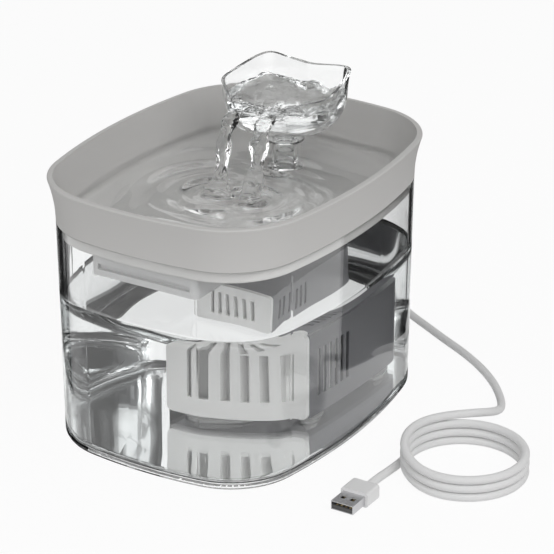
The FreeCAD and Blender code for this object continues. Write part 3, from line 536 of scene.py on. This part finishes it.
@dataclass(frozen=True)
class Strand:
    """Falling strand: a flattened, lobed tube along a thrown path; share runs from 0 at the lip to 1."""

    which: Stream
    start: tuple[float, float, float]
    end: tuple[float, float, float]
    phase: float
    steps: int = 84
    points: int = 40
    drop_power: float = 2.1
    sway: Swing = Swing(0.0009, 9)
    roll: Swing = Swing(0.35, 2.6)
    half_width: float = 0.0052
    narrowing: float = 0.0016
    width_swing: Swing = Swing(0.0009, 21)
    width_start: float = 0.3
    half_depth: float = 0.0021
    depth_swing: Swing = Swing(0.0006, 17)
    splash: float = 0.9
    splash_reach: float = 0.045
    lip: float = 0.35
    lip_reach: float = 0.08
    lobe: float = 0.14
    lobes: int = 3
    lobe_twist: float = 8
    wrinkle: float = 0.07
    wrinkles: int = 4
    wrinkle_twist: float = 34
    wrinkle_rate: float = 46

    def path(self, share: np.ndarray) -> np.ndarray:
        """Middle line: straight in plan with a growing sway, its drop as a power of the share.

        Args:
            share: Shares of the way down, shaped (steps,).

        Returns:
            Points, shaped (steps, 3).
        """
        start, end = np.array(self.start), np.array(self.end)
        path = start + (end - start) * share[:, None]
        path[:, 2] = start[2] + (end[2] - start[2]) * share**self.drop_power
        path[:, 0] += self.sway.at(share, self.phase) * share
        return path

    def swelling(self, share: np.ndarray, turn: np.ndarray) -> np.ndarray:
        """Lobes that twist on the way down, and finer wrinkles whose depth swings.

        One plus lobe times the cosine of lobes turns plus the twist, plus wrinkle times the cosine of
        wrinkles turns less its twist, times the sine of its rate.

        Args:
            share: Shares of the way down, shaped (steps, 1).
            turn: Angles round the strand, shaped (1, points).

        Returns:
            Factors on the section, shaped (steps, points).
        """
        lobes = 1 + self.lobe * np.cos(self.lobes * turn + self.lobe_twist * share)
        fine = self.wrinkle * np.cos(self.wrinkles * turn - self.wrinkle_twist * share + self.phase)
        return lobes + fine * np.sin(self.wrinkle_rate * share + self.phase)

    def flare(self, share: np.ndarray) -> np.ndarray:
        """One plus two bell curves: wide where it lands, and a little wide where it leaves the lip."""
        landing = self.splash * np.exp(-((1 - share) / self.splash_reach) ** 2)
        return 1 + landing + self.lip * np.exp(-((share) / self.lip_reach) ** 2)

    def section(self, share: np.ndarray) -> tuple[np.ndarray, np.ndarray]:
        """Section at every step: an ellipse, flared and lobed, rolled to and fro about the path.

        Args:
            share: Shares of the way down, shaped (steps,).

        Returns:
            Distances across and out of the path, each shaped (steps, points).
        """
        turn = np.linspace(0, 2 * math.pi, self.points, endpoint=False)[None, :]
        swing = self.width_swing.at(share, self.phase) * (self.width_start + share)
        half_width = self.half_width - self.narrowing * share + swing
        half_depth = self.half_depth + self.depth_swing.at(share, 2 * self.phase)
        swelling = self.swelling(share[:, None], turn)
        flare = self.flare(share)[:, None]
        wide = np.cos(turn) * half_width[:, None] * swelling * flare
        deep = np.sin(turn) * half_depth[:, None] * swelling * flare
        roll = self.roll.at(share, self.phase)
        cosine, sine = np.cos(roll)[:, None], np.sin(roll)[:, None]
        return wide * cosine - deep * sine, wide * sine + deep * cosine

    def build(self) -> bpy.types.Object:
        """Carry the section along the path.

        Returns:
            The piece.
        """
        share = np.linspace(0.0, 1.0, self.steps)
        path = self.path(share)
        along = np.gradient(path, axis=0)
        along /= np.linalg.norm(along, axis=1)[:, None]
        side = np.cross(along, np.array([1.0, 0.0, 0.0]))
        side /= np.linalg.norm(side, axis=1)[:, None]
        broad = np.cross(side, along)
        across, out = self.section(share)
        rings = path[:, None, :] + across[..., None] * broad[:, None, :] + out[..., None] * side[:, None, :]
        return ring_solid(f"stream_{self.which.value}", rings, path[0], path[-1])


STRANDS = (
    Strand(Stream.LEFT, (-0.0095, 0.0155, 0.1563), (-0.0065, -0.0100, 0.1190), 0.4),
    Strand(Stream.RIGHT, (0.0095, 0.0155, 0.1563), (0.0135, -0.0105, 0.1190), 1.9),
)


@dataclass
class Tank:
    """Clear tank and the water that stands in it."""

    top_inset: float = 0.0036
    draft: float = 0.0011
    height: float = 0.116
    wall: float = 0.0025
    floor: float = 0.003
    foot: float = 0.004
    foot_steps: int = 7
    wall_steps: int = 12
    level: float = 0.079
    meniscus: float = 0.0008
    meniscus_fall: float = 60.0
    wetting: float = 0.0001
    waves: tuple[Wave, ...] = (Wave(0.00018, 150, 60), Wave(0.00014, -110, 90, 0.7))
    surface_shares: tuple[float, float] = (0.995, 0.02)
    surface_rings: int = 48

    def inset(self, z: float) -> float:
        """Inset of the water's side at height z, just inside the wall's inner face."""
        return self.top_inset + self.draft * (self.height - z) / self.height + self.wall - self.wetting

    def surface(self, points: np.ndarray) -> np.ndarray:
        """Height of the still water: level plus two faint crossing waves."""
        x, y = points.T
        return self.level + sum(wave.at(x, y) for wave in self.waves)

    def water(self) -> bpy.types.Object:
        """Water body: quarter-round foot, wall along the tank, meniscus and gently waved surface.

        The meniscus falls off from the wall as e to the minus meniscus_fall times the share inwards.

        Returns:
            The piece.
        """
        floor = self.floor - self.wetting
        profile = rounded_foot(self.inset(floor), floor, self.foot, self.foot_steps)
        heights = np.linspace(floor + self.foot, self.level + self.meniscus, self.wall_steps)[1:]
        profile += [(self.inset(z), z) for z in heights]
        rings = filled_rings(profile)
        edge = PLAN.ring(self.inset(self.level))
        for share in np.linspace(*self.surface_shares, self.surface_rings):
            plan = edge * share
            lift = self.meniscus * math.exp(-(1 - share) * self.meniscus_fall)
            rings.append(at_height(plan, self.surface(plan) + lift))
        bottom = np.array([0.0, 0.0, floor])
        top = np.array([0.0, 0.0, self.surface(np.zeros((1, 2)))[0]])
        return ring_solid("tank_water", np.array(rings), bottom, top)

    def build(self, frame: dict) -> None:
        """Dress the tank and fill it.
        """
        dress(frame, CLEAR_PLASTIC, "tank")
        water = self.water()
        water.data.materials.append(WATER.material())
        let_light_through(frame["nodes"]["tank"], water)
        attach(water, "tank_and_pump")
        LOG.info("%s made", water.name)


@dataclass
class DrinkingTray:
    """Tray, riser and the film of water that the streams ripple."""

    basin_floor: float = 0.112
    film_gap: float = 0.00005
    level: float = 0.1195
    floor_inset: float = 0.0089
    lip_inset: float = 0.0028
    rim: float = 0.139
    corner: float = 0.004
    corner_steps: int = 6
    wall_steps: int = 4
    wetting: float = 0.0002
    ripples: tuple[RingWave, ...] = (RingWave(0.0008, 0.021, 0.055), RingWave(0.0003, 0.0062, 0.014))
    swell: Wave = Wave(0.0002, 95, 40)
    per_arc: int = 40
    surface_shares: tuple[float, float] = (0.995, 0.01)
    surface_rings: int = 96

    def wall_inset(self, z: float) -> float:
        """Inset of the basin's wall at height z: straight from the rounded foot to the lip.

        Args:
            z: Height.

        Returns:
            The inset, less the wetting.
        """
        low = self.basin_floor + self.corner
        share = (z - low) / (self.rim - low)
        return self.floor_inset + (self.lip_inset - self.floor_inset) * share - self.wetting

    def surface(self, points: np.ndarray) -> np.ndarray:
        """Height of the film: level plus broad and fine round waves about each landing, and a swell.

        Args:
            points: Plan points, shaped (n, 2).

        Returns:
            Heights, shaped (n,).
        """
        z = np.full(len(points), self.level)
        for strand in STRANDS:
            away = np.linalg.norm(points - np.array(strand.end[:2]), axis=1)
            for ripple in self.ripples:
                z += ripple.at(away)
        return z + self.swell.at(points[:, 0], points[:, 1])

    def water(self) -> bpy.types.Object:
        """Film of water: rounded foot, wall along the basin and rippled surface.

        Returns:
            The piece.
        """
        floor = self.basin_floor + self.film_gap
        profile = rounded_foot(self.floor_inset - self.wetting, floor, self.corner, self.corner_steps)
        heights = np.linspace(floor + self.corner, self.level, self.wall_steps)[1:]
        profile += [(self.wall_inset(z), z) for z in heights]
        rings = [self.resampled(ring) for ring in filled_rings(profile)]
        edge = PLAN.ring(self.wall_inset(self.level), self.per_arc)
        for share in np.linspace(*self.surface_shares, self.surface_rings):
            plan = edge * share
            rings.append(at_height(plan, self.surface(plan)))
        bottom = np.array([0.0, 0.0, floor])
        top = np.array([0.0, 0.0, self.surface(np.zeros((1, 2)))[0]])
        return ring_solid("tray_water", np.array(rings), bottom, top)

    def resampled(self, ring: np.ndarray) -> np.ndarray:
        """The same ring with as many points as the surface's rings, interpolated along its length.

        Args:
            ring: Points, shaped (n, 3).

        Returns:
            Points, shaped (arcs per_arc, 3).
        """
        count = len(ring)
        closed = np.vstack([ring, ring[:1]])
        at = np.linspace(0, count, PLAN.arcs * self.per_arc, endpoint=False)
        return np.stack([np.interp(at, np.arange(count + 1), closed[:, i]) for i in range(3)], axis=-1)

    def build(self, frame: dict) -> None:
        """Dress the tray and riser and lay the film of water.
        """
        dress(frame, WARM_GRAY, "drinking_tray")
        dress(frame, INNER_GRAY, "riser_pipe")
        water = self.water()
        water.data.materials.append(WATER.material())
        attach(water, "tray")
        LOG.info("%s made", water.name)


@dataclass
class PetalBowl:
    """Clear stem and petal bowl, and the water that wells up in it.

    petals holds (angle, outer radius) round the rim, and levels holds (rise, circle's radius, share of
    petal) up the bowl, in degrees and millimetres.
    """

    axis_y: float = 0.044
    floor: float = 0.1372
    wall: float = 0.0016
    wall_wetted: float = 0.75
    level: float = 0.1548
    petals: tuple[tuple[float, float], ...] = (
        (90, 20.5), (60, 25.5), (46, 32.0), (20, 30.5), (0, 30.5), (-20, 32.5), (-35, 31.0),
        (-52, 31.5), (-72, 33.5), (-90, 29.5), (-108, 33.5), (-128, 31.5), (-145, 31.0),
        (-160, 32.5), (-180, 30.5), (-200, 30.5), (-226, 32.0), (-240, 25.5),
    )
    levels: tuple[tuple[float, float, float], ...] = (
        (0.0, 11.0, 0.0), (3.0, 19.0, 0.25), (8.0, 24.5, 0.6), (15.0, 27.5, 0.85), (23.0, 29.0, 1.0),
    )
    blur: int = 3
    points: int = 144
    hub_radius: float = 0.002
    hub_rise: float = 0.0002
    wall_rings: int = 12
    wall_stop: float = 0.001
    surface_shares: tuple[float, float] = (1.0, 0.03)
    surface_rings: int = 44
    dome_height: float = 0.0035
    dome_width: float = 0.008
    round_height: float = 0.0010
    round_length: float = 0.0016
    round_reach: float = 0.02
    waves: tuple[Wave, ...] = (Wave(0.0008, 420, 260), Wave(0.0007, -300, 360, 1.1))
    fine_wave: Wave = Wave(0.00035, 1150, -500)
    fine_across: float = 350
    fine_back: float = 900
    tilt: float = 0.05

    def reach(self, rise: float) -> np.ndarray:
        """Radius of the water round the bowl: a circle blended into the petals, less most of the wall.

        The petals' radii are interpolated over the angle and then averaged over blur points on each side.

        Args:
            rise: Height above the bowl's inner floor, in metres.

        Returns:
            Radii in metres, shaped (points,).
        """
        table = np.array(self.levels)
        radius = np.interp(rise / MM, table[:, 0], table[:, 1])
        mix = np.interp(rise / MM, table[:, 0], table[:, 2])
        petals = np.array(self.petals[::-1])
        petal = np.interp(np.degrees(self.turns()), petals[:, 0], petals[:, 1], period=360)
        shifts = range(-self.blur, self.blur + 1)
        smooth = sum(np.roll(petal, shift) for shift in shifts) / len(shifts)
        return (radius * (1 - mix) + smooth * mix - (self.wall / MM) * self.wall_wetted) * MM

    def turns(self) -> np.ndarray:
        """Angles round the bowl."""
        return np.linspace(-math.pi, math.pi, self.points, endpoint=False)

    def ring(self, reach: float | np.ndarray, z: float | np.ndarray) -> np.ndarray:
        """Ring of points about the stem's axis, reach times (cos, sin) at height z.

        Args:
            reach: One radius, or one to a point.
            z: One height, or one to a point.

        Returns:
            Points, shaped (points, 3).
        """
        turn = self.turns()
        x, y = reach * np.cos(turn), self.axis_y + reach * np.sin(turn)
        return np.stack([x, y, np.broadcast_to(z, self.points)], axis=-1)

    def chop(self, x: np.ndarray, y: np.ndarray) -> np.ndarray:
        """Height of the choppy surface, in metres.

        Level, plus a bell-shaped dome over the outlet, a round wave that dies away, two crossing waves, a
        fine wave times the cosine of another, and a tilt that rises to the back.

        Args:
            x: Distance across from the axis.
            y: Distance back from the axis.

        Returns:
            Heights.
        """
        away = np.hypot(x, y)
        dome = self.dome_height * np.exp(-((away / self.dome_width) ** 2))
        ring = self.round_height * np.cos(away / self.round_length) * np.exp(-away / self.round_reach)
        waves = sum(wave.at(x, y) for wave in self.waves)
        waves += self.fine_wave.at(x, y) * np.cos(self.fine_across * x + self.fine_back * y)
        return self.level + dome + ring + waves + self.tilt * y

    def water(self) -> bpy.types.Object:
        """Water in the bowl: inner wall of the bowl below, choppy surface above.

        Returns:
            The piece.
        """
        floor = self.floor + self.wall
        depth = self.level - self.floor - self.wall
        rings = [self.ring(self.hub_radius, floor + self.hub_rise)]
        for rise in np.linspace(0.0, depth - self.wall_stop, self.wall_rings):
            rings.append(self.ring(self.reach(rise), floor + rise))
        edge = self.reach(depth)
        for share in np.linspace(*self.surface_shares, self.surface_rings):
            flat = self.ring(edge * share, 0.0)
            flat[:, 2] = self.chop(flat[:, 0], flat[:, 1] - self.axis_y)
            rings.append(flat)
        low = np.array([0.0, self.axis_y, floor + self.hub_rise])
        high = np.array([0.0, self.axis_y, self.chop(np.zeros(1), np.zeros(1))[0]])
        return ring_solid("bowl_water", np.array(rings), low, high)

    def build(self, frame: dict) -> None:
        """Dress stem and bowl and add their water and the two strands.
        """
        dress(frame, CLEAR_PLASTIC, "stem_tube", "petal_bowl")
        for piece in [self.water()] + [strand.build() for strand in STRANDS]:
            piece.data.materials.append(WATER.material())
            let_light_through(piece)
            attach(piece, "bowl")
            LOG.info("%s made", piece.name)


@dataclass
class FilterDrawer:
    """Drawer and cartridge under the tray."""

    finishes: dict[Moulded | Speckled, tuple[str, ...]] = field(
        default_factory=lambda: {
            INNER_GRAY: ("filter_drawer",),
            WHITE_PLASTIC: ("cartridge_frame",),
            CARBON: ("carbon_pad",),
            COTTON: ("cotton_pad",),
        }
    )

    def build(self, frame: dict) -> None:
        """Dress the drawer, the cartridge's frame and its two pads."""
        for finish, names in self.finishes.items():
            dress(frame, finish, *names)


@dataclass
class PumpUnit:
    """Pump case, sponge, pump, motor and rotor."""

    finishes: dict[Moulded | Speckled, tuple[str, ...]] = field(
        default_factory=lambda: {
            DARK_GRAY: ("pump_case",),
            CASE_WHITE: ("case_door",),
            SPONGE: ("intake_sponge",),
            SILICONE: ("suction_cups", "shaft_bushes"),
            BLACK: ("pump_body", "volute_cover"),
            STATOR_STEEL: ("stator_core",),
            COPPER: ("stator_coil",),
            WHITE_PLASTIC: ("flow_dial", "impeller"),
            CERAMIC: ("impeller_shaft",),
            MAGNET: ("rotor_magnet",),
        }
    )

    def build(self, frame: dict) -> None:
        """Dress every piece of the pump."""
        for finish, names in self.finishes.items():
            dress(frame, finish, *names)


@dataclass
class Lead:
    """Low-voltage lead: free stretch, coil and tail in one spline, ending in its plug.

    route and tail are points in millimetres, before and after the coil.
    """

    radius: float = 0.0021
    length: float = 0.930
    exit: tuple[float, float, float] = (0.0, 0.10165, 0.105)
    centre: tuple[float, float] = (0.133, -0.0055)
    coil_radius: float = 0.0295
    layer: float = 0.00465
    first_angle: float = 135.0
    last_angle: float = 1260.0
    step: float = 22.5
    drops: int = 3
    drop_end: float = 270.0
    drop_span: float = 90.0
    bevel_steps: int = 5
    spline_steps: int = 6
    spline_order: int = 3
    route: tuple[tuple[float, float, float], ...] = (
        (0.1, 113.65, 105.0), (0.7, 125.95, 98.2), (1.3, 133.15, 85.1), (1.9, 135.85, 69.3),
        (2.4, 136.85, 52.5), (3.4, 137.45, 36.8), (5.8, 138.25, 21.5), (12.0, 138.55, 9.0),
        (24.5, 136.15, 2.6), (39.5, 128.2, 2.1), (55.0, 118.8, 2.1), (71.5, 109.7, 2.1),
        (88.0, 98.5, 2.1), (102.5, 85.5, 2.1), (113.5, 71.5, 2.4), (120.5, 59.0, 4.6),
        (124.8, 47.2, 8.6), (126.0, 35.8, 13.0), (122.2, 25.4, 16.05),
    )
    tail: tuple[tuple[float, float, float], ...] = (
        (103.5, -19.0, 2.1), (103.3, -30.0, 2.7), (103.5, -41.0, 3.9), (103.5, -50.0, 3.9),
    )

    def coil(self) -> np.ndarray:
        """Control points of the turns: a circle that steps down one layer in each turn's third quarter.

        A spline of order 3 runs inside its control points, so these stand out by 8 over 6 plus twice the
        step's cosine. The height is one radius plus a layer for each drop that still lies ahead.

        Returns:
            Points in metres, shaped (n, 3).
        """
        angles = np.arange(self.first_angle, self.last_angle + self.step / 2, self.step)
        turn = np.radians(angles)
        reach = self.coil_radius * 8 / (6 + 2 * math.cos(math.radians(self.step)))
        ends = [self.drop_end + 360 * k for k in range(self.drops)]
        z = self.radius + self.layer * sum(smooth_step((end - angles) / self.drop_span) for end in ends)
        x, y = self.centre[0] + reach * np.cos(turn), self.centre[1] + reach * np.sin(turn)
        return np.stack([x, y, z], axis=-1)

    def build(self, frame: dict) -> bpy.types.Object:
        """Lay the lead as one NURBS spline and dress it, its grommets and its plug.


        Returns:
            The lead.
        """
        free = np.array(self.route) * MM
        tail = np.array(self.tail) * MM
        points = np.vstack([np.array([self.exit]), free, self.coil(), tail])
        curve = bpy.data.curves.new("lead", "CURVE")
        curve.dimensions = "3D"
        curve.bevel_depth = self.radius
        curve.bevel_resolution = self.bevel_steps
        curve.resolution_u = self.spline_steps
        curve.use_fill_caps = True
        spline = curve.splines.new("NURBS")
        spline.points.add(len(points) - 1)
        spline.points.foreach_set("co", np.column_stack([points, np.ones(len(points))]).ravel())
        spline.order_u = self.spline_order
        spline.use_endpoint_u = True
        lead = bpy.data.objects.new("lead", curve)
        bpy.context.scene.collection.objects.link(lead)
        curve.materials.append(LEAD_WHITE.material())
        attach(lead, "tank_and_pump")
        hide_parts("free_lead", "lead_coil", "lead_tail")
        dress(frame, LEAD_WHITE, "inner_lead", "pump_boot", "lead_grommet")
        dress(frame, PLUG_WHITE, "plug_housing")
        dress(frame, PLUG_METAL, "plug_shell")
        dress(frame, INSULATOR, "plug_tongue")
        dress(frame, GOLD, "plug_contacts")
        return lead


@dataclass(frozen=True)
class Softbox:
    """Square lamp: its bearing and height in degrees as the camera's, power in watts and side in metres."""

    name: str
    azimuth: float
    elevation: float
    power: float
    size: float


@dataclass
class Studio:
    """Pale floor, white room, two softboxes, the camera, and black flags and cards.

    The flags, the card behind and the ring under the foot are seen only in glossy and clear parts, where
    they draw the dark edges.
    The ring under the foot is painted shade: a black sheet standing in for the floor's shade under the
    tank's foot.
    """

    azimuth: float = 31.5
    elevation: float = 24.15
    distance: float = 1.3
    target: tuple[float, float, float] = (0.0207, 0.0026, 0.075)
    lens: float = 168.95
    sensor: float = 36.0
    floor_half: float = 6.0
    floor_tone: float = 0.92
    floor_glow: float = 0.93
    floor_gap: float = 0.0003
    room_light: float = 0.38
    softboxes: tuple[Softbox, ...] = (
        Softbox("key_softbox", 62, 45, 9, 1.0),
        Softbox("fill_softbox", -15, 35, 3, 1.2),
    )
    lamp_distance: float = 1.6
    flag_aside: float = 0.13
    flag_depths: tuple[float, float] = (-0.02, 0.4)
    flag_heights: tuple[float, float] = (0.0, 0.3)
    card_azimuth: float = -148.5
    card_distance: float = 1.2
    card_half: float = 0.4
    card_heights: tuple[float, float] = (0.5, 0.8)
    # Insets of the black ring of painted shade under the tank's foot
    foot_shade_insets: tuple[float, float] = (-0.002, 0.018)
    card_tone: float = 0.004
    clear_bounces: int = 40
    glossy_bounces: int = 16

    def floor(self) -> None:
        """Pale floor that keeps a faint shadow and shows white to camera, glossy and transmission rays."""
        size, z = self.floor_half, -self.floor_gap
        floor = plane("floor", [(-size, -size, z), (size, -size, z), (size, size, z), (-size, size, z)])
        material, shader = new_material("pale_floor")
        nodes, links = material.node_tree.nodes, material.node_tree.links
        shader.inputs["Base Color"].default_value = plain(self.floor_tone)
        shader.inputs["Roughness"].default_value = MATT
        glow = nodes.new("ShaderNodeEmission")
        mix = nodes.new("ShaderNodeMixShader")
        share = nodes.new("ShaderNodeMath")
        share.operation = "MULTIPLY"
        share.inputs[1].default_value = self.floor_glow
        links.new(self.seen(nodes, links), share.inputs[0])
        links.new(share.outputs[0], mix.inputs["Fac"])
        links.new(shader.outputs[0], mix.inputs[1])
        links.new(glow.outputs[0], mix.inputs[2])
        links.new(mix.outputs[0], nodes["Material Output"].inputs["Surface"])
        floor.data.materials.append(material)

    @staticmethod
    def seen(nodes: bpy.types.Nodes, links: bpy.types.NodeLinks) -> bpy.types.NodeSocket:
        """Greatest of the marks of the kinds of ray that see the white background.

        Args:
            nodes: The tree's nodes.
            links: The tree's links.

        Returns:
            A socket that is 1 for those rays and 0 for others.
        """
        path = nodes.new("ShaderNodeLightPath")
        total = path.outputs[Seen.CAMERA.value]
        for kind in (Seen.GLOSSY, Seen.TRANSMISSION):
            add = nodes.new("ShaderNodeMath")
            add.operation = "MAXIMUM"
            links.new(total, add.inputs[0])
            links.new(path.outputs[kind.value], add.inputs[1])
            total = add.outputs[0]
        return total

    def world(self) -> None:
        """White surroundings, dim for diffuse light and at strength 1 where they are seen."""
        world = bpy.data.worlds.new("white_room")
        world.use_nodes = True
        bpy.context.scene.world = world
        nodes, links = world.node_tree.nodes, world.node_tree.links
        light = nodes["Background"]
        light.inputs["Color"].default_value = plain(1.0)
        strength = nodes.new("ShaderNodeMapRange")
        strength.inputs["To Min"].default_value = self.room_light
        strength.inputs["To Max"].default_value = 1.0
        links.new(self.seen(nodes, links), strength.inputs["Value"])
        links.new(strength.outputs["Result"], light.inputs["Strength"])

    def toward(self, azimuth: float, elevation: float) -> Vector:
        """Direction from the object to a place seen at that azimuth and elevation."""
        a, e = math.radians(azimuth), math.radians(elevation)
        return Vector((math.sin(a) * math.cos(e), -math.cos(a) * math.cos(e), math.sin(e)))

    def aim(self, made: bpy.types.Object, way: Vector, distance: float) -> None:
        """Stand a lamp or camera off to one side, facing the target, and put it in the scene.

        Args:
            made: The lamp or camera.
            way: Direction from the target to it.
            distance: Its distance from the target.
        """
        made.location = Vector(self.target) + way * distance
        made.rotation_mode = "QUATERNION"
        made.rotation_quaternion = (-way).to_track_quat("-Z", "Y")
        bpy.context.scene.collection.objects.link(made)

    def lamp(self, box: Softbox) -> None:
        """Set up one softbox.

        Args:
            box: What it is.
        """
        data = bpy.data.lights.new(box.name, "AREA")
        data.energy = box.power
        data.size = box.size
        lamp = bpy.data.objects.new(box.name, data)
        self.aim(lamp, self.toward(box.azimuth, box.elevation), self.lamp_distance)

    def sheet(self, name: str, first: Vector, last: Vector, heights: tuple[float, float]) -> None:
        """Upright black sheet over a line on the floor.

        Args:
            name: The sheet's name.
            first: One end of the line.
            last: Its other end.
            heights: Lower and upper edge.
        """
        low, high = heights
        corners = [(end.x, end.y, low) for end in (first, last)]
        corners += [(end.x, end.y, high) for end in (last, first)]
        self.blacken(plane(name, corners))

    def flag(self, name: str, aside: float) -> None:
        """Black flag along the line of sight, just beside the object, for dark silhouettes.

        Args:
            name: The flag's name.
            aside: How far right of the line of sight it stands.
        """
        away = -self.toward(self.azimuth, 0)
        across = Vector((away.y, -away.x, 0)) * aside
        near, far = self.flag_depths
        self.sheet(name, across + away * near, across + away * far, self.flag_heights)

    def back_card(self) -> None:
        """Black card high behind the object, square to the line of sight, for contrast on the water."""
        way = self.toward(self.card_azimuth, 0)
        half = Vector((-way.y, way.x, 0)) * self.card_half
        middle = way * self.card_distance
        self.sheet("back_card", middle - half, middle + half, self.card_heights)

    def foot_shade_ring(self) -> None:
        """Painted shade: black ring just under the tank's foot, a third of the way down to the floor,
        standing in for the floor's shade there and drawing the foot's dark line.
        """
        outer, inner = (PLAN.ring(inset) for inset in self.foot_shade_insets)
        count = len(outer)
        # Painted shade under the tank's foot, seen only through the clear tank
        points = at_height(np.vstack([outer, inner]), -self.floor_gap / 3)
        here = np.arange(count)
        after = (here + 1) % count
        faces = np.stack([here, after, after + count, here + count], axis=-1)
        mesh = bpy.data.meshes.new("foot_shade_ring")
        mesh.from_pydata(points.tolist(), [], faces.tolist())
        mesh.update()
        card = bpy.data.objects.new("foot_shade_ring", mesh)
        bpy.context.scene.collection.objects.link(card)
        self.blacken(card)

    def blacken(self, card: bpy.types.Object) -> None:
        """Make a card black and hide it from all but glossy and transmitted rays.

        Args:
            card: The card.
        """
        material = bpy.data.materials.get("black_card")
        if material is None:
            material, shader = new_material("black_card")
            shader.inputs["Base Color"].default_value = plain(self.card_tone)
            shader.inputs["Roughness"].default_value = MATT
        card.data.materials.append(material)
        card.visible_camera = False
        card.visible_diffuse = False
        card.visible_shadow = False

    def camera(self) -> None:
        """Camera at the photograph's angle."""
        data = bpy.data.cameras.new("camera")
        data.lens = self.lens
        data.sensor_width = self.sensor
        camera = bpy.data.objects.new("camera", data)
        self.aim(camera, self.toward(self.azimuth, self.elevation), self.distance)
        bpy.context.scene.camera = camera

    def build(self) -> None:
        """Set up floor, surroundings, lamps, flags, cards and camera."""
        bpy.context.scene.view_settings.view_transform = "Standard"
        cycles = bpy.context.scene.cycles
        cycles.max_bounces = self.clear_bounces
        cycles.transmission_bounces = self.clear_bounces
        cycles.glossy_bounces = self.glossy_bounces
        self.floor()
        self.world()
        for box in self.softboxes:
            self.lamp(box)
        self.flag("left_flag", -self.flag_aside)
        self.flag("right_flag", self.flag_aside)
        self.back_card()
        # Black ring of painted shade under the tank's foot
        self.foot_shade_ring()
        self.camera()


def main() -> None:
    """Load the frame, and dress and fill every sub-assembly."""
    logging.basicConfig(level=logging.INFO)
    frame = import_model()
    for part in (Tank(), DrinkingTray(), PetalBowl(), FilterDrawer(), PumpUnit(), Lead()):
        part.build(frame)
        LOG.info("%s built", type(part).__name__)
    Studio().build()


if __name__ == "__main__":
    main()
